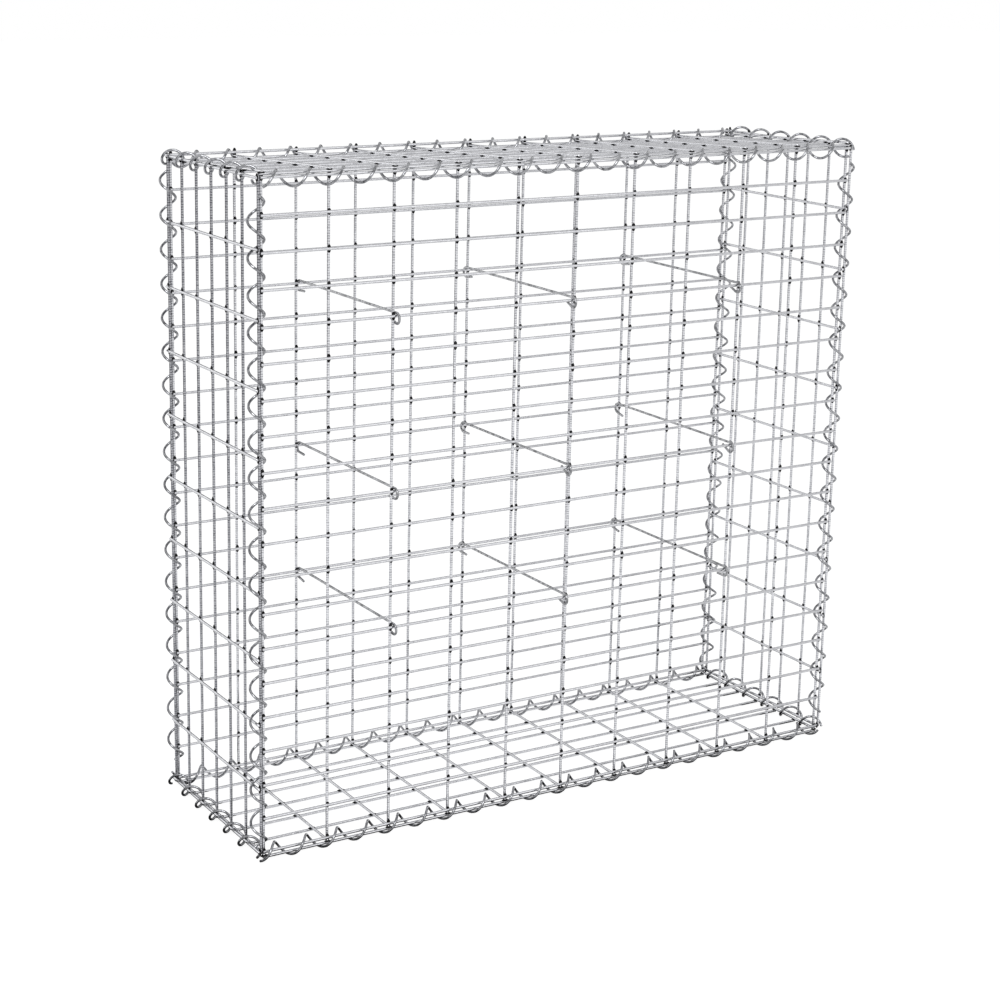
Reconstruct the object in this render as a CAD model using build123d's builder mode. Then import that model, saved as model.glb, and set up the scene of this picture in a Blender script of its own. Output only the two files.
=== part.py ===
from build123d import *
import math
import os

# Driving dimensions in millimetres
basket_length = 1000.0
basket_depth = 300.0
basket_height = 950.0
long_cell = 100.0
short_cell = 50.0
wire_width = 4.2
weld_set_down = 0.6
wire_overhang = 2.3
seat_gap = 0.15
spiral_radius = 11.5
strand_width = 3.8
tie_width = 3.8
hook_bend_radius = 7.5
hook_tail = 16.0
lid_drop = 13.5

# Where the ties sit: shares of the height, of the length, and of the lift that sets them beside a post
tie_row_shares = {"upper": 0.79, "middle": 0.53, "lower": 0.32}
tie_column_shares = {"left": 0.2, "centre": 0.5, "right": 0.8}
tie_side_shares = {"left": 1, "centre": -1, "right": -1}

# How much of the lid's slope the spirals at its ends take
end_spiral_slope_share = 0.33

# Counts of cells, and corners in a turn of a spiral
column_count = round(basket_length / long_cell)
row_count = round(basket_height / short_cell)
depth_count = round(basket_depth / short_cell)
end_row_count = math.ceil(row_count / 2)
corners_per_turn = 6
turns_per_column = 2

# Spacing of the mesh, the spirals and the wire layers
column_pitch = basket_length / column_count
row_pitch = basket_height / row_count
depth_pitch = basket_depth / depth_count
layer_step = wire_width - weld_set_down
edge_reach = max(wire_overhang, wire_width / 2)
wire_stack = edge_reach + wire_width / 2 + seat_gap

# Inner flats and outer corners of a spiral's strand, seen along its axis
half_step = 180 / corners_per_turn
corner_share = math.cos(math.radians(half_step))
inner_flat = spiral_radius * corner_share - strand_width / 2
outer_radius = spiral_radius + strand_width / 2 / corner_share


def seat_distance(angle):
    # From a spiral's axis to a wire that lies in the corner of its turns at this angle
    rooms = []
    for flat in (math.radians(angle - half_step), math.radians(angle + half_step)):
        wire_reach = wire_width / 2 * max(abs(math.cos(flat)), abs(math.sin(flat)))
        rooms.append(inner_flat - wire_reach - seat_gap)
    return min(rooms) / corner_share


# Heights of the wire layers, from the ground up
base_x_height = outer_radius - seat_distance(-90)
base_y_height = base_x_height + layer_step
wall_bottom = base_y_height + wire_stack
wall_middle = wall_bottom + basket_height / 2
wall_top = wall_bottom + basket_height
lid_x_height = wall_top + wire_stack
lid_y_height = lid_x_height + layer_step

# Middle planes of the upright panels: the end panels close the ends of the front and back panels
front_y = -basket_depth / 2
back_y = basket_depth / 2
front_rail_y = front_y - layer_step / 2
back_rail_y = back_y - layer_step / 2
end_reach = basket_length / 2 + wire_stack + layer_step / 2

# The lid lies on the front panel, slopes to the back and ends there inside the posts of the back panel
lid_back_y = back_y + layer_step / 2 - wire_stack
lid_run = lid_back_y - front_y
lid_depth = math.hypot(lid_run, lid_drop)
lid_slope = math.atan2(lid_drop, lid_run)

os.makedirs("parts", exist_ok=True)


def mesh_panel(label, plane, rail_length, post_length, rail_cells, post_cells):
    # Rails run along the plane's X on its upper side, posts along its Y on its lower side
    rail_plane = Plane(
        origin=plane.from_local_coords((-rail_length / 2 - wire_overhang, 0, 0)),
        x_dir=plane.y_dir,
        z_dir=plane.x_dir,
    )
    post_plane = Plane(
        origin=plane.from_local_coords((0, -post_length / 2 - wire_overhang, 0)),
        x_dir=plane.x_dir,
        z_dir=plane.y_dir,
    )
    with BuildPart() as panel:
        with BuildSketch(rail_plane):
            with Locations((0, layer_step / 2)):
                with GridLocations(post_length / rail_cells, layer_step, rail_cells + 1, 1):
                    RegularPolygon(wire_width / 2, 4)
        extrude(amount=rail_length + 2 * wire_overhang)
        with BuildSketch(post_plane):
            with Locations((0, layer_step / 2)):
                with GridLocations(rail_length / post_cells, layer_step, post_cells + 1, 1):
                    RegularPolygon(wire_width / 2, 4)
        extrude(amount=post_length + 2 * wire_overhang)
    panel.part.label = label
    export_step(panel.part, f"parts/{label}.step")


def spiral(label, wire_point, outward, advance, start, end, pitch, grid_angle, seat_angle):
    # A left-handed spiral around a wire. Angles turn from the outward side over the top:
    # the strand is at grid_angle beside the cross wires and has a corner at seat_angle, on the wire
    plane = Plane(origin=wire_point, x_dir=outward, z_dir=advance)
    seat = math.radians(seat_angle)
    axis_x = -seat_distance(seat_angle) * math.cos(seat)
    axis_y = seat_distance(seat_angle) * math.sin(seat)
    step = 360 / corners_per_turn
    first = math.ceil((start / pitch * 360 + grid_angle - seat_angle) / step)
    last = math.floor((end / pitch * 360 + grid_angle - seat_angle) / step)
    corners = []
    for number in range(first, last + 1):
        angle = seat_angle + step * number
        across = axis_x + spiral_radius * math.cos(math.radians(angle))
        down = axis_y - spiral_radius * math.sin(math.radians(angle))
        corners.append(plane.from_local_coords((across, down, pitch * (angle - grid_angle) / 360)))
    with BuildPart() as strand:
        with BuildLine() as path:
            Polyline(*corners)
        with BuildSketch(Plane(origin=path.line @ 0, z_dir=path.line % 0)):
            RegularPolygon(strand_width / 2, 3)
        sweep(path=path.line, transition=Transition.RIGHT)
    strand.part.label = label
    export_step(strand.part, f"parts/{label}.step")


def tie(label, corners):
    # A straight bar with mitred hooks, along a line of points
    with BuildPart() as bar:
        with BuildLine() as path:
            Polyline(*corners)
        with BuildSketch(Plane(origin=path.line @ 0, x_dir=(1, 0, 0), z_dir=path.line % 0)):
            RegularPolygon(tie_width / 2, 4)
        sweep(path=path.line, transition=Transition.RIGHT)
    bar.part.label = label
    export_step(bar.part, f"parts/{label}.step")


# Front and back panels, with the rails towards the front
for name, panel_y in (("front_panel", front_y), ("back_panel", back_y)):
    mesh_panel(
        name,
        Plane(origin=(0, panel_y, wall_middle), x_dir=(1, 0, 0), z_dir=(0, -1, 0)),
        basket_length,
        basket_height,
        row_count,
        column_count,
    )

# End panels, with the rails towards the left
for name, panel_x in (("left_end_panel", -end_reach), ("right_end_panel", end_reach)):
    mesh_panel(
        name,
        Plane(origin=(panel_x, 0, wall_middle), x_dir=(0, -1, 0), z_dir=(-1, 0, 0)),
        basket_depth,
        basket_height,
        end_row_count,
        depth_count,
    )

# Base and lid, with the cross wires on top of the long wires
mesh_panel(
    "base_panel",
    Plane(origin=(0, 0, base_x_height + layer_step / 2), x_dir=(0, 1, 0), z_dir=(0, 0, 1)),
    basket_depth,
    basket_length,
    column_count,
    depth_count,
)
mesh_panel(
    "lid_panel",
    Plane(
        origin=(0, (front_y + lid_back_y) / 2, lid_x_height + (layer_step - lid_drop) / 2),
        x_dir=(0, math.cos(lid_slope), -math.sin(lid_slope)),
        z_dir=(0, math.sin(lid_slope), math.cos(lid_slope)),
    ),
    lid_depth,
    basket_length,
    column_count,
    depth_count,
)

# Long spirals: the lower ones carry the base's edge wires, the upper front one hangs on the lid's
# edge wire and the upper back one on the top rail of the back panel, with the lid's edge inside it
for name, way, wire_y, wire_height, grid_angle, seat_angle in (
    ("bottom_front", 1, front_y, base_x_height, -15, -90),
    ("bottom_back", -1, back_y, base_x_height, -15, -90),
    ("top_front", 1, front_y, lid_x_height, -60, 90),
    ("top_back", -1, back_rail_y, wall_top, 11, 90),
):
    spiral(
        f"spiral_{name}",
        (-way * basket_length / 2, wire_y, wire_height),
        (0, -way, 0),
        (way, 0, 0),
        0,
        basket_length,
        column_pitch / turns_per_column,
        grid_angle,
        seat_angle,
    )

# Cross spirals at the ends, each against the end cross wire of the base or of the lid. Those of the
# lid touch its wire near the front and slope less than it, to keep round the rails of the end panels
end_spiral_drop = lid_drop * end_spiral_slope_share
lid_wire_height = lid_y_height - lid_drop * depth_pitch / 4 / basket_depth
for name, way in (("left", -1), ("right", 1)):
    for level, wire_height, drop, grid_angle, seat_angle in (
        ("bottom", base_y_height, 0, -15, 210),
        ("top", lid_wire_height, end_spiral_drop, -25, 120),
    ):
        spiral(
            f"spiral_{level}_{name}",
            (way * basket_length / 2, -way * basket_depth / 2, wire_height - (drop if way < 0 else 0)),
            (way, 0, 0),
            (0, way * basket_depth, -way * drop),
            0,
            basket_depth,
            depth_pitch,
            grid_angle,
            seat_angle,
        )

# Upright spirals, each against the end post of the front or back panel. Beside the rails of the
# end panel the strand is at the angle where its turn crosses them, where the rows let it pass
post_seat_angle = 31
axis_reach = seat_distance(post_seat_angle) * math.cos(math.radians(post_seat_angle))
row_turn = 0 if row_count % 2 else 180
for name, panel_y, way_y in (("front", front_y, -1), ("back", back_y, 1)):
    for side, way_x in (("left", -1), ("right", 1)):
        post_x = way_x * basket_length / 2
        rail_x = way_x * end_reach - layer_step / 2
        rail_angle = math.degrees(math.acos((rail_x - post_x - way_x * axis_reach) / spiral_radius))
        spiral(
            f"spiral_{name}_{side}",
            (post_x, panel_y + layer_step / 2, wall_bottom),
            (1, 0, 0),
            (0, 0, 1),
            0 if way_x == way_y else row_pitch / 2,
            basket_height - 2 * spiral_radius,
            row_pitch,
            way_y * rail_angle + row_turn,
            -way_y * (post_seat_angle if way_x < 0 else 180 - post_seat_angle),
        )

# Ties between the front and back panels: the run lies on a rail of each, and the hooks bend down outside
tie_lift = wire_width / 2 + tie_width / 2 + seat_gap
hook_corner = hook_bend_radius / math.cos(math.radians(22.5))
for level, row_share in tie_row_shares.items():
    rail_height = wall_bottom + row_pitch * round(row_count * row_share)
    bend_height = rail_height + tie_lift - hook_bend_radius
    tail_height = bend_height - hook_bend_radius
    for side, column_share in tie_column_shares.items():
        post_x = column_pitch * round(column_count * column_share) - basket_length / 2
        tie_x = post_x + tie_side_shares[side] * tie_lift
        corners = [(tie_x, front_rail_y + hook_tail, tail_height)]
        for rail_y, angles in (
            (front_rail_y, (247.5, 202.5, 157.5, 112.5)),
            (back_rail_y, (67.5, 22.5, -22.5, -67.5)),
        ):
            for angle in angles:
                across = hook_corner * math.cos(math.radians(angle))
                up = hook_corner * math.sin(math.radians(angle))
                corners.append((tie_x, rail_y + across, bend_height + up))
        corners.append((tie_x, back_rail_y - hook_tail, tail_height))
        tie(f"tie_{level}_{side}", corners)
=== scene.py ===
# %% [markdown]
# This lesson dresses a gabion basket: an empty box of welded wire mesh that is later filled with stones.
# Six flat mesh panels are laced together along all their edges with spiral binders, and nine hooked tie wires
# stop the long sides from bulging. The sizes are those of the imported model, so the first step loads it and
# keeps its parts, whose boxes give the sizes of the pieces.

# %% Load the frame
import math
import random

import bmesh
import bpy
from mathutils import Matrix, Vector


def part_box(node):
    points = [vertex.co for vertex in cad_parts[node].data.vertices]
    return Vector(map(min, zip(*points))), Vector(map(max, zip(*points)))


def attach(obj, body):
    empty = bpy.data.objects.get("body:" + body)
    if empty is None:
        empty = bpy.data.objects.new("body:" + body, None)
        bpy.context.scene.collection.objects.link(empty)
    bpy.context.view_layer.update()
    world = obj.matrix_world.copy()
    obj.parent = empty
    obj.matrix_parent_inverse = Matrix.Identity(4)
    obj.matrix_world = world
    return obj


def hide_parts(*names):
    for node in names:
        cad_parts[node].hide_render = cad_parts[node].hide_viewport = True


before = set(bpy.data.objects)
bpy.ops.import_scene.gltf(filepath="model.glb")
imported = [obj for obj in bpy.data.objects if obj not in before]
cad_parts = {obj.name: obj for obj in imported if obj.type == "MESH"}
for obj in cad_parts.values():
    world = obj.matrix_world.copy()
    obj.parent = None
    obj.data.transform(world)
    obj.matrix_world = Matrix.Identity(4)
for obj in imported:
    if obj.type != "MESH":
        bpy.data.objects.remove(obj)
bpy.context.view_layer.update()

MM = 0.001
X, Y, Z = Vector((1, 0, 0)), Vector((0, 1, 0)), Vector((0, 0, 1))

# %% [markdown]
# All metal here is steel wire with a zinc coat. Fresh zinc is pale, a little blue and not quite even: it
# freezes in crystals of a few millimetres, called spangle, each of which reflects slightly differently.
# The level wires are smooth. The upright wires were straightened between rollers, which left rows of fine
# marks and dull patches on them. At the left end they are darker: a darker copy of their zinc there is painted
# shade on that side. The ties are dark too, and the binders are dark partly by their own tone and partly by
# painted shade for their undersides and edges. A photograph of zinc as a texture would be one way to show
# this. Noise, Voronoi and wave patterns on Object coordinates are better, because they have a real size in
# millimetres and bent wire needs no unwrapping.


# %% A material of zinc-coated wire
GRAIN_SIZE, GRAIN_DEPTH, GRAIN_STRENGTH = 0.5 * MM, 0.1 * MM, 0.12
CRYSTAL_SHARE = 0.35
DULL_BELOW, PALE_ABOVE, SMOOTH_ABOVE = 0.3, 0.62, 0.7
ROLLER_STEP = 3.6 * MM
BAND_AT_SCALE_ONE = 2 * math.pi / 20


def zinc_coat(name, pale, dull, spangle_size, patch_size, smooth, rough, metal, marks=0.0):
    material = bpy.data.materials.new(name)
    material.use_nodes = True
    nodes, links = material.node_tree.nodes, material.node_tree.links
    shader = nodes["Principled BSDF"]
    place = nodes.new("ShaderNodeTexCoord").outputs["Object"]

    spangle = nodes.new("ShaderNodeTexVoronoi")
    spangle.inputs["Scale"].default_value = 1 / spangle_size
    links.new(place, spangle.inputs["Vector"])
    patch = nodes.new("ShaderNodeTexNoise")
    patch.inputs["Scale"].default_value = 1 / patch_size
    patch.inputs["Detail"].default_value = 5
    links.new(place, patch.inputs["Vector"])
    grain = nodes.new("ShaderNodeTexNoise")
    grain.inputs["Scale"].default_value = 1 / GRAIN_SIZE
    grain.inputs["Detail"].default_value = 2
    links.new(place, grain.inputs["Vector"])

    crystal = nodes.new("ShaderNodeSeparateColor")
    links.new(spangle.outputs["Color"], crystal.inputs["Color"])
    weathering = nodes.new("ShaderNodeMix")
    weathering.inputs["Factor"].default_value = CRYSTAL_SHARE
    links.new(patch.outputs["Fac"], weathering.inputs["A"])
    links.new(crystal.outputs["Red"], weathering.inputs["B"])
    if marks:
        rings = nodes.new("ShaderNodeTexWave")
        rings.bands_direction = "Z"
        rings.inputs["Scale"].default_value = BAND_AT_SCALE_ONE / ROLLER_STEP
        rings.inputs["Distortion"].default_value = 3.0
        rings.inputs["Detail"].default_value = 2.0
        links.new(place, rings.inputs["Vector"])
        rolled = nodes.new("ShaderNodeMix")
        rolled.inputs["Factor"].default_value = marks
        links.new(weathering.outputs["Result"], rolled.inputs["A"])
        links.new(rings.outputs["Fac"], rolled.inputs["B"])
        weathering = rolled

    tone = nodes.new("ShaderNodeValToRGB")
    tone.color_ramp.elements[0].position = DULL_BELOW
    tone.color_ramp.elements[0].color = (*dull, 1)
    tone.color_ramp.elements[1].position = PALE_ABOVE
    tone.color_ramp.elements[1].color = (*pale, 1)
    links.new(weathering.outputs["Result"], tone.inputs["Fac"])
    links.new(tone.outputs["Color"], shader.inputs["Base Color"])

    gloss = nodes.new("ShaderNodeMapRange")
    gloss.inputs["From Min"].default_value = DULL_BELOW
    gloss.inputs["From Max"].default_value = SMOOTH_ABOVE
    gloss.inputs["To Min"].default_value = rough
    gloss.inputs["To Max"].default_value = smooth
    links.new(weathering.outputs["Result"], gloss.inputs["Value"])
    links.new(gloss.outputs["Result"], shader.inputs["Roughness"])

    bump = nodes.new("ShaderNodeBump")
    bump.inputs["Strength"].default_value = GRAIN_STRENGTH
    bump.inputs["Distance"].default_value = GRAIN_DEPTH
    links.new(grain.outputs["Fac"], bump.inputs["Height"])
    links.new(bump.outputs["Normal"], shader.inputs["Normal"])
    shader.inputs["Metallic"].default_value = metal
    return material


rail_zinc = zinc_coat(
    "rail_zinc",
    pale=(0.58, 0.584, 0.606),
    dull=(0.47, 0.474, 0.494),
    spangle_size=2.5 * MM,
    patch_size=25 * MM,
    smooth=0.1,
    rough=0.13,
    metal=0.9,
)
post_zinc = zinc_coat(
    "post_zinc",
    pale=(0.74, 0.744, 0.77),
    dull=(0.37, 0.373, 0.395),
    spangle_size=2.5 * MM,
    patch_size=14 * MM,
    smooth=0.1,
    rough=0.22,
    metal=0.85,
    marks=0.35,
)
# A darker copy of the upright finish, for the left end: painted shade on that side of the basket.
shaded_post_zinc = zinc_coat(
    "shaded_post_zinc",
    pale=(0.46, 0.463, 0.485),
    dull=(0.13, 0.132, 0.15),
    spangle_size=2.5 * MM,
    patch_size=14 * MM,
    smooth=0.1,
    rough=0.22,
    metal=0.85,
    marks=0.35,
)
# The binders' zinc is darker than the rest: partly its own tone and partly painted shade for their dark
# undersides and edges.
shaded_spiral_zinc = zinc_coat(
    "shaded_spiral_zinc",
    pale=(0.36, 0.364, 0.38),
    dull=(0.13, 0.133, 0.143),
    spangle_size=3 * MM,
    patch_size=18 * MM,
    smooth=0.08,
    rough=0.16,
    metal=0.9,
)
tie_zinc = zinc_coat(
    "tie_zinc",
    pale=(0.42, 0.425, 0.44),
    dull=(0.16, 0.163, 0.17),
    spangle_size=3 * MM,
    patch_size=9 * MM,
    smooth=0.12,
    rough=0.28,
    metal=0.8,
)
print("zinc finishes:", [m.name for m in (rail_zinc, post_zinc, shaded_post_zinc, shaded_spiral_zinc, tie_zinc)])

# %% [markdown]
# Where two wires cross they are pressed together and welded with a strong current. The zinc burns off there
# and leaves a dark, rough bead in the groove between the wires. The near-black of the beads is partly that
# burnt zinc and partly painted shade, the contact shade in the groove where the wires meet. Seen from the
# front these beads are the small black spots beside every crossing, so they get a material of their own.


# %% A material of burnt weld beads and painted groove shade
SOOT_SIZE, SOOT_DEPTH, SOOT_STRENGTH = 2 * MM, 0.2 * MM, 0.5
# Near-black and dark grey: burnt zinc, and painted contact shade in the groove between the wires.
SOOT_AND_SHADE_BLACK, SOOT_AND_SHADE_GREY = (0.003, 0.003, 0.003, 1), (0.03, 0.03, 0.033, 1)


def burnt_weld_and_shade(name):
    material = bpy.data.materials.new(name)
    material.use_nodes = True
    nodes, links = material.node_tree.nodes, material.node_tree.links
    shader = nodes["Principled BSDF"]
    place = nodes.new("ShaderNodeTexCoord").outputs["Object"]
    soot = nodes.new("ShaderNodeTexNoise")
    soot.inputs["Scale"].default_value = 1 / SOOT_SIZE
    soot.inputs["Detail"].default_value = 4
    links.new(place, soot.inputs["Vector"])
    tone = nodes.new("ShaderNodeValToRGB")
    tone.color_ramp.elements[0].position = 0.35
    tone.color_ramp.elements[0].color = SOOT_AND_SHADE_BLACK
    tone.color_ramp.elements[1].position = 0.8
    tone.color_ramp.elements[1].color = SOOT_AND_SHADE_GREY
    links.new(soot.outputs["Fac"], tone.inputs["Fac"])
    links.new(tone.outputs["Color"], shader.inputs["Base Color"])
    bump = nodes.new("ShaderNodeBump")
    bump.inputs["Strength"].default_value = SOOT_STRENGTH
    bump.inputs["Distance"].default_value = SOOT_DEPTH
    links.new(soot.outputs["Fac"], bump.inputs["Height"])
    links.new(bump.outputs["Normal"], shader.inputs["Normal"])
    shader.inputs["Specular IOR Level"].default_value = 0.15
    shader.inputs["Roughness"].default_value = 0.85
    return material


weld_soot_and_shade = burnt_weld_and_shade("weld_soot_and_shade")
print("weld finish:", weld_soot_and_shade.name)

# %% [markdown]
# Every piece ends the same way: its bmesh becomes a mesh at the origin, shaded smooth with the cut ends left
# sharp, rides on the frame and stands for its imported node. One function does that for all of them. The limit
# of 40 degrees matters. The bevelled rims turn by 45, and if they were smooth too, the shading of the long
# faces would lean towards the ends and mirror the wrong part of the room.


# %% Finish a piece
SHARP_ABOVE = math.radians(40)


def finish_piece(bm, name, node, materials):
    bmesh.ops.recalc_face_normals(bm, faces=bm.faces)
    mesh = bpy.data.meshes.new(name)
    bm.to_mesh(mesh)
    bm.free()
    for material in materials:
        mesh.materials.append(material)
    mesh.shade_smooth()
    mesh.set_sharp_from_angle(angle=SHARP_ABOVE)
    piece = bpy.data.objects.new(name, mesh)
    bpy.context.scene.collection.objects.link(piece)
    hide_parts(node)
    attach(piece, "root")
    print(name, "faces", len(mesh.polygons))
    return piece


# %% [markdown]
# A mesh panel is a grid of straight round wires in two layers. The wires of one layer lie on those of the
# other and are sunk into them a little by the weld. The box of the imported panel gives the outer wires, and
# the count of cells gives the rest. A cylinder with its two rims bevelled is one wire with sheared ends, and
# copies of it, moved along by one cell each time, fill the layer. An Array modifier would do the same, but
# the beads have to sit in the same mesh, so plain loops are simpler here. The lid slopes a little to the
# back, so its grid is laid out flat and then leaned.

# %% The mesh panels
WIRE = 4.2 * MM
WIRE_SIDES = 12
RIM_BEVEL = 0.5 * MM
OVERHANG = 2.3 * MM
PANEL_THICKNESS = 7.8 * MM
LID_DROP, LID_RUN = 13.5 * MM, 297.25 * MM
LID_SLOPE = math.atan2(LID_DROP, LID_RUN)
LONG_CELLS, DEEP_CELLS, HIGH_CELLS, END_ROWS = 10, 6, 19, 10
LOW_SIDE, HIGH_SIDE = -1, 1
BEAD_LONG, BEAD_WIDE, BEAD_DEEP = 6.0 * MM, 2.9 * MM, 1.8 * MM
BEAD_SIDES, BEAD_BANDS = 10, 5
BEAD_GROWTH = (0.75, 1.15)
RAIL_FINISH, POST_FINISH, SHADED_POST_FINISH, WELD_AND_SHADE_FINISH = range(4)
mesh_finishes = [rail_zinc, post_zinc, shaded_post_zinc, weld_soot_and_shade]
weld_draw = random.Random(11)


def template(name, bm):
    mesh = bpy.data.meshes.new(name)
    bm.to_mesh(mesh)
    bm.free()
    return mesh


def straight_wire(length, finish):
    bm = bmesh.new()
    bmesh.ops.create_cone(
        bm, cap_ends=True, segments=WIRE_SIDES, radius1=WIRE / 2, radius2=WIRE / 2, depth=length
    )
    rims = {e for f in bm.faces if len(f.verts) == WIRE_SIDES for e in f.edges}
    bmesh.ops.bevel(
        bm, geom=list(rims), offset=RIM_BEVEL, segments=1, profile=0.5, affect="EDGES", material=-1
    )
    for face in bm.faces:
        face.material_index = finish
    return template("wire_template", bm)


def weld_bead():
    bm = bmesh.new()
    bmesh.ops.create_uvsphere(bm, u_segments=BEAD_SIDES, v_segments=BEAD_BANDS, radius=1.0)
    for face in bm.faces:
        face.material_index = WELD_AND_SHADE_FINISH
    return template("bead_template", bm)


def stamp(bm, pattern, place):
    copy = pattern.copy()
    copy.transform(place)
    bm.from_mesh(copy)
    bpy.data.meshes.remove(copy)


def mesh_panel(name, node, rail_axis, post_axis, rail_side, rail_cells, post_cells, finish, slope=0.0):
    low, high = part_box(node)
    centre, size = (low + high) / 2, high - low
    if slope:
        size.y = (size.y - WIRE * math.sin(slope)) / math.cos(slope)
        size.z = PANEL_THICKNESS
    lean = Matrix.Translation(centre) @ Matrix.Rotation(-slope, 4, "X")
    through = Vector(abs(v) for v in rail_axis.cross(post_axis))
    inner = size - 2 * ((rail_axis + post_axis) * OVERHANG + through * WIRE / 2)

    def place(rail_share, post_share, depth_share):
        shares = rail_axis * rail_share + post_axis * post_share + through * depth_share
        return lean @ Matrix.Translation(inner * shares)

    bm = bmesh.new()
    rail = straight_wire(size.dot(rail_axis), RAIL_FINISH)
    lie_along_rail = rail_axis.to_track_quat("Z", "Y").to_matrix().to_4x4()
    for row in range(rail_cells + 1):
        stamp(bm, rail, place(0, row / rail_cells - 0.5, rail_side / 2) @ lie_along_rail)
    post = straight_wire(size.dot(post_axis), finish)
    lie_along_post = post_axis.to_track_quat("Z", "Y").to_matrix().to_4x4()
    for column in range(post_cells + 1):
        stamp(bm, post, place(column / post_cells - 0.5, 0, -rail_side / 2) @ lie_along_post)
    bead = weld_bead()
    for row in range(rail_cells + 1):
        for column in range(post_cells + 1):
            grow = weld_draw.uniform(*BEAD_GROWTH)
            squash = Matrix((post_axis * BEAD_LONG * grow, rail_axis * BEAD_WIDE, through * BEAD_DEEP))
            crossing = place(column / post_cells - 0.5, row / rail_cells - 0.5, 0)
            stamp(bm, bead, crossing @ squash.transposed().to_4x4())
    return finish_piece(bm, name, node, mesh_finishes)


mesh_panel("front_mesh", "front_panel", X, Z, LOW_SIDE, HIGH_CELLS, LONG_CELLS, POST_FINISH)
mesh_panel("back_mesh", "back_panel", X, Z, LOW_SIDE, HIGH_CELLS, LONG_CELLS, POST_FINISH)
# The left end takes the darker copy of the upright finish, which is painted shade on that side.
mesh_panel("left_end_mesh", "left_end_panel", Y, Z, LOW_SIDE, END_ROWS, DEEP_CELLS, SHADED_POST_FINISH)
mesh_panel("right_end_mesh", "right_end_panel", Y, Z, LOW_SIDE, END_ROWS, DEEP_CELLS, POST_FINISH)
mesh_panel("base_mesh", "base_panel", Y, X, HIGH_SIDE, LONG_CELLS, DEEP_CELLS, RAIL_FINISH)
mesh_panel("lid_mesh", "lid_panel", Y, X, HIGH_SIDE, LONG_CELLS, DEEP_CELLS, RAIL_FINISH, LID_SLOPE)

# %% [markdown]
# Bent wire is made as a wire bender makes it: a ring of points is fed forward in a straight line or turned
# round a pin, and the surface grows behind it. Extruding the ring's edges is the feed, and a spin is the
# turn. With a climb along its axis a spin becomes a screw, which is all that a spiral binder needs.

# %% Feed and turn a wire
BEND_SIDES = 10


def start_wire(bm, place, tangent, width):
    face_along = tangent.to_track_quat("Z", "Y").to_matrix().to_4x4()
    made = bmesh.ops.create_circle(
        bm,
        cap_ends=False,
        segments=BEND_SIDES,
        radius=width / 2,
        matrix=Matrix.Translation(place) @ face_along,
    )
    return list({e for v in made["verts"] for e in v.link_edges})


def feed(bm, ring, run):
    grown = bmesh.ops.extrude_edge_only(bm, edges=ring)["geom"]
    points = {g for g in grown if isinstance(g, bmesh.types.BMVert)}
    bmesh.ops.translate(bm, verts=list(points), vec=run)
    return [g for g in grown if isinstance(g, bmesh.types.BMEdge) and set(g.verts) <= points]


def turn(bm, ring, pin, axis, angle, steps, climb=0.0):
    points = list({v for e in ring for v in e.verts})
    spun = bmesh.ops.spin(
        bm,
        geom=points + ring,
        cent=pin,
        axis=axis,
        dvec=axis * (climb / steps),
        angle=angle,
        steps=steps,
        use_merge=False,
        use_duplicate=False,
    )
    return [g for g in spun["geom_last"] if isinstance(g, bmesh.types.BMEdge)]


def close_ends(bm):
    rims = [e for e in bm.edges if len(e.link_faces) == 1]
    bmesh.ops.holes_fill(bm, edges=rims, sides=BEND_SIDES)


print("bent wires have", BEND_SIDES, "sides")

# %% [markdown]
# A spiral binder is a long left-handed coil that is screwed round the edge wires of two panels until it holds
# them together. Its place is an axis, a start on that axis, and the angle at which the wire begins there.
# Modelling each turn by hand would take hours, and a curve with a bevel gives no control over the ends. One
# spin with a climb of 50 mm for each turn makes the whole coil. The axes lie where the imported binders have
# theirs, beside the wires that they rest on, and a few ends stick out freely as they do after lacing.

# %% The spiral binders
STRAND = 3.8 * MM
COIL = 11.05 * MM
PITCH = 50 * MM
STEPS_PER_TURN = 28
LENGTH, DEPTH = 1000 * MM, 300 * MM
LEFT, RIGHT, FRONT, BACK = -LENGTH / 2, LENGTH / 2, -DEPTH / 2, DEPTH / 2
BACK_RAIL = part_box("back_panel")[0].y + WIRE / 2
LOW_AXIS, LOW_END_AXIS, LOW_END_REACH = 13.694 * MM, 13.615 * MM, 505.81 * MM
TOP_FRONT_AXIS, TOP_BACK_AXIS = 962.33 * MM, 957.78 * MM
TOP_END_FRONT, TOP_END_DROP, TOP_END_REACH = 966.59 * MM, 4.455 * MM, 503.35 * MM
TOP_END_BACK = TOP_END_FRONT - TOP_END_DROP
DOWN_BACK = Vector((0, DEPTH, -TOP_END_DROP)).normalized()
POST_FOOT, POST_RUN, POST_REACH = 14.811 * MM, 927 * MM, 505.75 * MM
POST_FRONT, POST_BACK = -144.75 * MM, 148.35 * MM
FREE_END, LONG_FREE_END, SHORT_OF_END = 8 * MM, 22 * MM, 10 * MM


def spiral_binder(edge, origin, outward, advance, phase, start, end):
    up = outward.cross(advance)
    first = math.radians(phase) + 2 * math.pi * start / PITCH
    sweep = 2 * math.pi * (end - start) / PITCH
    spoke = outward * math.cos(first) + up * math.sin(first)
    around = up * math.cos(first) - outward * math.sin(first)
    tangent = around * COIL + advance * PITCH / (2 * math.pi)
    bm = bmesh.new()
    ring = start_wire(bm, origin + advance * start + spoke * COIL, tangent, STRAND)
    steps = round(STEPS_PER_TURN * (end - start) / PITCH)
    turn(bm, ring, origin, advance, -sweep, steps, end - start)
    close_ends(bm)
    return finish_piece(bm, f"binder_{edge}", f"spiral_{edge}", [shaded_spiral_zinc])


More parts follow.
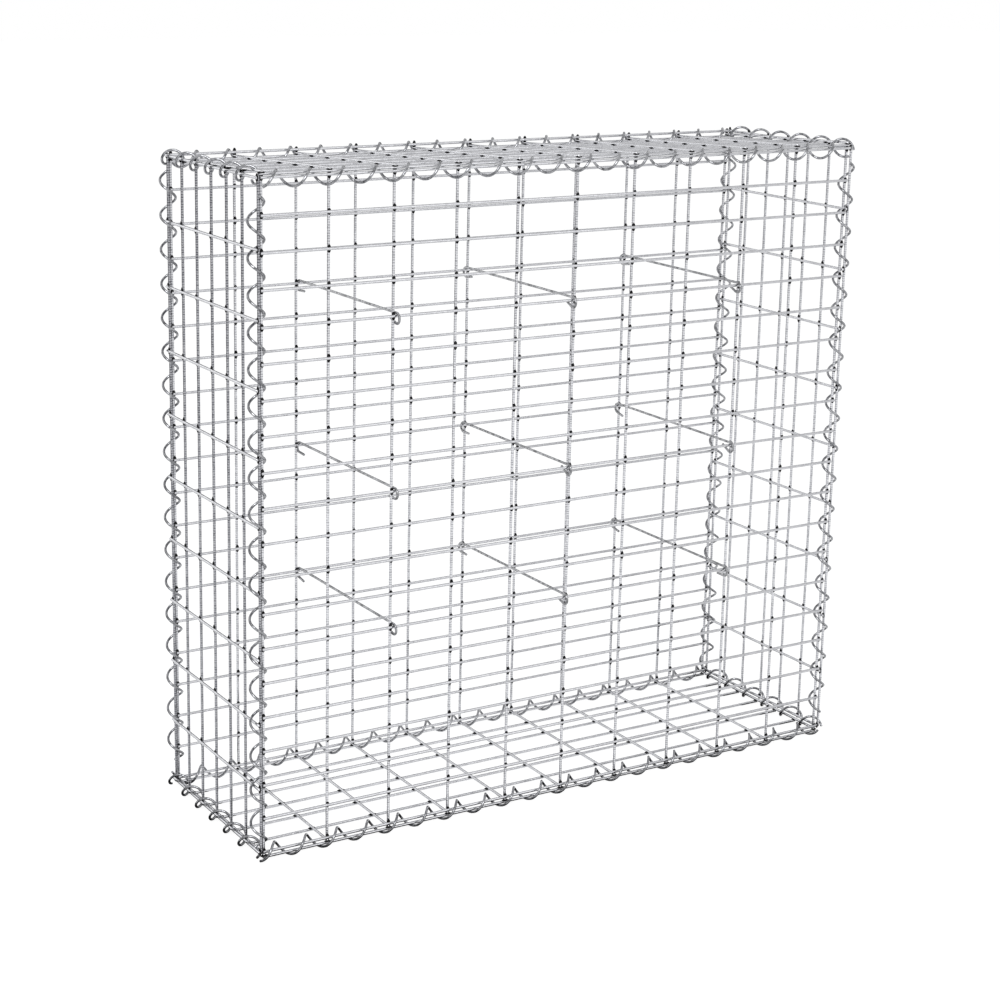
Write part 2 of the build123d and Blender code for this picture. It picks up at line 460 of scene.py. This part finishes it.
for edge, origin, outward, advance, phase, start, end in (
    ("bottom_front", (LEFT, FRONT, LOW_AXIS), -Y, X, -15, -FREE_END, LENGTH),
    ("bottom_back", (RIGHT, BACK, LOW_AXIS), Y, -X, -15, 0, LENGTH + FREE_END),
    ("top_front", (LEFT, FRONT, TOP_FRONT_AXIS), -Y, X, -60, 0, LENGTH),
    ("top_back", (RIGHT, BACK_RAIL, TOP_BACK_AXIS), Y, -X, 11, 0, LENGTH),
    ("bottom_left", (-LOW_END_REACH, BACK, LOW_END_AXIS), -X, -Y, -15, -FREE_END, DEPTH - SHORT_OF_END),
    ("bottom_right", (LOW_END_REACH, FRONT, LOW_END_AXIS), X, Y, -15, 0, DEPTH),
    ("top_left", (-TOP_END_REACH, BACK, TOP_END_BACK), -X, -DOWN_BACK, -25, -LONG_FREE_END, DEPTH),
    ("top_right", (TOP_END_REACH, FRONT, TOP_END_FRONT), X, DOWN_BACK, -25, 0, DEPTH),
    ("front_left", (-POST_REACH, POST_FRONT, POST_FOOT), X, Z, -102, 0, POST_RUN),
    ("front_right", (POST_REACH, POST_FRONT, POST_FOOT), X, Z, -96, PITCH / 2, POST_RUN),
    ("back_left", (-POST_REACH, POST_BACK, POST_FOOT), X, Z, 102, PITCH / 2, POST_RUN),
    ("back_right", (POST_REACH, POST_BACK, POST_FOOT), X, Z, 96, 0, POST_RUN),
):
    spiral_binder(edge, Vector(origin), outward, advance, phase, start, end)

# %% [markdown]
# The ties are cut lengths of wire with a hook bent at each end. They lie on a rail of the front panel and a
# rail of the back panel, and the hooks bend down round the outside of both. Each is fed and turned like the
# binders: a short tail, about half a turn round the front rail, the long straight run, about half a turn
# round the back rail and a second tail. Hooks are bent by hand, so every turn is drawn from a small range.

# %% The tie wires
TIE = 3.8 * MM
TIE_LIFT = 4.15 * MM
HOOK_BEND = 7.5 * MM
HOOK_TAIL = 16 * MM
HOOK_STEPS = 16
FRONT_HOOK_DEGREES, BACK_HOOK_DEGREES = (180, 212), (165, 190)
FRONT_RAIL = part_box("front_panel")[0].y + WIRE / 2
LOWEST_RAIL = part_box("front_panel")[0].z + OVERHANG
ROW_STEP = 50 * MM
SIDE_POST = 300 * MM
hook_draw = random.Random(5)
tie_rows = {"upper": 15, "middle": 10, "lower": 6}
tie_places = {"left": -SIDE_POST + TIE_LIFT, "centre": -TIE_LIFT, "right": SIDE_POST - TIE_LIFT}


def tie_wire(name, node, across, height):
    front_pin = Vector((across, FRONT_RAIL, height + TIE_LIFT - HOOK_BEND))
    back_pin = Vector((across, BACK_RAIL, front_pin.z))
    bm = bmesh.new()
    front_turn = math.radians(hook_draw.uniform(*FRONT_HOOK_DEGREES))
    over_bend = Matrix.Rotation(front_turn - math.pi, 3, "X")
    tail_way = over_bend @ Y
    tail_end = front_pin + over_bend @ (-Z * HOOK_BEND) + tail_way * HOOK_TAIL
    ring = start_wire(bm, tail_end, -tail_way, TIE)
    ring = feed(bm, ring, -tail_way * HOOK_TAIL)
    ring = turn(bm, ring, front_pin, X, -front_turn, HOOK_STEPS)
    ring = feed(bm, ring, Y * (BACK_RAIL - FRONT_RAIL))
    back_turn = math.radians(hook_draw.uniform(*BACK_HOOK_DEGREES))
    ring = turn(bm, ring, back_pin, X, -back_turn, HOOK_STEPS)
    feed(bm, ring, Matrix.Rotation(math.pi - back_turn, 3, "X") @ -Y * HOOK_TAIL)
    close_ends(bm)
    return finish_piece(bm, name, node, [tie_zinc])


for level, row in tie_rows.items():
    for side, across in tie_places.items():
        tie_wire(f"tie_wire_{level}_{side}", f"tie_{level}_{side}", across, LOWEST_RAIL + row * ROW_STEP)

# %% [markdown]
# The basket stands on a plain white studio floor. The floor takes a faint shadow, so it isn't simply a white
# light: a part of its brightness is reflected light, which the shadow can take away, and the rest is added
# only for what the camera and shiny surfaces see. The Light Path node tells which rays those are.


# %% The floor
FLOOR_GLOW = 0.86
FLOOR_GREY = (0.4, 0.405, 0.41, 1)
FLOOR_REACH = 20.0


def larger(nodes, links, first, second):
    node = nodes.new("ShaderNodeMath")
    node.operation = "MAXIMUM"
    links.new(first, node.inputs[0])
    links.new(second, node.inputs[1])
    return node.outputs["Value"]


def seen_directly(nodes, links):
    path = nodes.new("ShaderNodeLightPath").outputs
    seen = larger(nodes, links, path["Is Camera Ray"], path["Is Glossy Ray"])
    return larger(nodes, links, seen, path["Is Transmission Ray"])


def studio_floor():
    material = bpy.data.materials.new("studio_floor")
    material.use_nodes = True
    nodes, links = material.node_tree.nodes, material.node_tree.links
    nodes.clear()
    lift = nodes.new("ShaderNodeMath")
    lift.operation = "MULTIPLY"
    lift.inputs[1].default_value = FLOOR_GLOW
    links.new(seen_directly(nodes, links), lift.inputs[0])
    glow = nodes.new("ShaderNodeEmission")
    links.new(lift.outputs["Value"], glow.inputs["Strength"])
    paper = nodes.new("ShaderNodeBsdfDiffuse")
    paper.inputs["Color"].default_value = FLOOR_GREY
    both = nodes.new("ShaderNodeAddShader")
    links.new(glow.outputs["Emission"], both.inputs[0])
    links.new(paper.outputs["BSDF"], both.inputs[1])
    out = nodes.new("ShaderNodeOutputMaterial")
    links.new(both.outputs["Shader"], out.inputs["Surface"])

    bm = bmesh.new()
    bmesh.ops.create_grid(bm, x_segments=2, y_segments=2, size=FLOOR_REACH)
    mesh = bpy.data.meshes.new("floor")
    bm.to_mesh(mesh)
    bm.free()
    mesh.materials.append(material)
    floor = bpy.data.objects.new("floor", mesh)
    bpy.context.scene.collection.objects.link(floor)
    return floor


floor = studio_floor()
print("floor", [round(v, 2) for v in floor.dimensions])

# %% [markdown]
# Studio light is soft and comes from large surfaces. A big key lamp at the upper left lights the basket. A
# strip at the front right and a small one at the back left are there to be mirrored: each gives the wires
# that face it a bright line. The white room around gives the rest. The camera sees that room as pure white,
# and the zinc reflects it.


# %% The room and the lamps
ROOM_LIGHT, ROOM_WHITE = 0.4, 1.0
LAMP_AIM = Vector((0, 0, 0.5))


def white_room():
    world = bpy.data.worlds.new("white_room")
    bpy.context.scene.world = world
    world.use_nodes = True
    nodes, links = world.node_tree.nodes, world.node_tree.links
    nodes.clear()
    level = nodes.new("ShaderNodeMapRange")
    level.inputs["To Min"].default_value = ROOM_LIGHT
    level.inputs["To Max"].default_value = ROOM_WHITE
    links.new(seen_directly(nodes, links), level.inputs["Value"])
    room = nodes.new("ShaderNodeBackground")
    room.inputs["Color"].default_value = (1, 1, 1, 1)
    links.new(level.outputs["Result"], room.inputs["Strength"])
    out = nodes.new("ShaderNodeOutputWorld")
    links.new(room.outputs["Background"], out.inputs["Surface"])


def soft_lamp(name, place, width, height, power):
    lamp = bpy.data.lights.new(name, "AREA")
    lamp.shape = "RECTANGLE"
    lamp.size, lamp.size_y = width, height
    lamp.energy = power
    holder = bpy.data.objects.new(name, lamp)
    holder.location = place
    holder.rotation_euler = (LAMP_AIM - Vector(place)).to_track_quat("-Z", "Y").to_euler()
    bpy.context.scene.collection.objects.link(holder)
    return holder


white_room()
soft_lamp("key_lamp", place=(-2.2, -2.6, 3.2), width=1.6, height=1.6, power=60)
soft_lamp("front_strip", place=(1.16, -3.02, 1.7), width=1.8, height=1.0, power=10)
soft_lamp("rim_strip", place=(-1.7, 2.7, 1.5), width=0.8, height=0.6, power=2)

# %% [markdown]
# A shiny wire in an all-white room would vanish: its edges mirror what stands behind it, and that is white.
# Photographers put black cloth and black cards, called flags, where the edges mirror them and the lens does
# not see them. Here narrow black sheets lie on the floor under three lower edges: they are painted shade,
# standing in for the shaded floor under the basket, and darken the undersides of the binders. One flag stands
# far behind at the right and one at the left. All are hidden from the camera and cast no shadow, so that only
# the reflections in the wires show them.


# %% The painted shade sheets and the flags
SHADE_SHEET_HEIGHT, SHADE_SHEET_WIDTH = 0.3 * MM, 70 * MM
LONG_SHADE_SHEET, SHORT_SHADE_SHEET, SHADE_SHEET_REACH = 1100 * MM, 370 * MM, 507 * MM


def black_felt():
    felt = bpy.data.materials.new("black_felt")
    felt.use_nodes = True
    shader = felt.node_tree.nodes["Principled BSDF"]
    shader.inputs["Base Color"].default_value = (0.02, 0.02, 0.02, 1)
    shader.inputs["Roughness"].default_value = 1.0
    return felt


felt = black_felt()


def dark_flag(name, place, aim, width, height):
    bm = bmesh.new()
    bmesh.ops.create_grid(bm, x_segments=1, y_segments=1, size=0.5)
    bmesh.ops.scale(bm, verts=bm.verts, vec=(width, height, 1))
    mesh = bpy.data.meshes.new(name)
    bm.to_mesh(mesh)
    bm.free()
    mesh.materials.append(felt)
    flag = bpy.data.objects.new(name, mesh)
    flag.location = place
    flag.rotation_euler = (Vector(aim) - Vector(place)).to_track_quat("-Z", "Y").to_euler()
    flag.visible_camera = False
    flag.visible_diffuse = False
    flag.visible_shadow = False
    bpy.context.scene.collection.objects.link(flag)


# These three sheets under the lower edges are painted shade: in the wires' reflections they stand in for the
# shaded floor under the basket.
for name, x, y, width, depth in (
    ("front_shade_sheet", 0, FRONT, LONG_SHADE_SHEET, SHADE_SHEET_WIDTH),
    ("left_shade_sheet", -SHADE_SHEET_REACH, 0, SHADE_SHEET_WIDTH, SHORT_SHADE_SHEET),
    ("right_shade_sheet", SHADE_SHEET_REACH, 0, SHADE_SHEET_WIDTH, SHORT_SHADE_SHEET),
):
    dark_flag(name, place=(x, y, SHADE_SHEET_HEIGHT), aim=(x, y, 1.0), width=width, height=depth)
dark_flag("back_flag", place=(3.2, 4.5, 1.25), aim=(3.2, 0, 1.25), width=4.4, height=2.5)
dark_flag("side_flag", place=(-2.3, 0.6, 0.6), aim=(0, 0, 0.6), width=1.6, height=1.2)

# %% [markdown]
# The camera stands to the left of the basket and a little above its lid, as the photographer did. Its place
# and angles were found by fitting the known grid of the mesh to the crossings that can be seen.

# %% The camera
CAMERA_PLACE = Vector((-1666.6, -2604.1, 1283.4)) * MM
CAMERA_TILT, CAMERA_TURN, CAMERA_ROLL = 1.3481, -0.5364, 0.0161
FOCAL_PIXELS, IMAGE_PIXELS = 2073.1, 1000.0
CENTRE_ACROSS, CENTRE_DOWN = 450.0, 400.0

lens = bpy.data.cameras.new("camera")
lens.sensor_width = 36.0
lens.lens = FOCAL_PIXELS / IMAGE_PIXELS * lens.sensor_width
lens.shift_x = 0.5 - CENTRE_ACROSS / IMAGE_PIXELS
lens.shift_y = CENTRE_DOWN / IMAGE_PIXELS - 0.5
lens.clip_end = 100.0
camera = bpy.data.objects.new("camera", lens)
camera.matrix_world = (
    Matrix.Translation(CAMERA_PLACE)
    @ Matrix.Rotation(CAMERA_TURN, 4, "Z")
    @ Matrix.Rotation(CAMERA_TILT, 4, "X")
    @ Matrix.Rotation(CAMERA_ROLL, 4, "Z")
)
bpy.context.scene.collection.objects.link(camera)
bpy.context.scene.camera = camera
bpy.context.scene.view_settings.view_transform = "Standard"
print("lens", round(lens.lens, 2), "mm, shift", round(lens.shift_x, 3), round(lens.shift_y, 3))
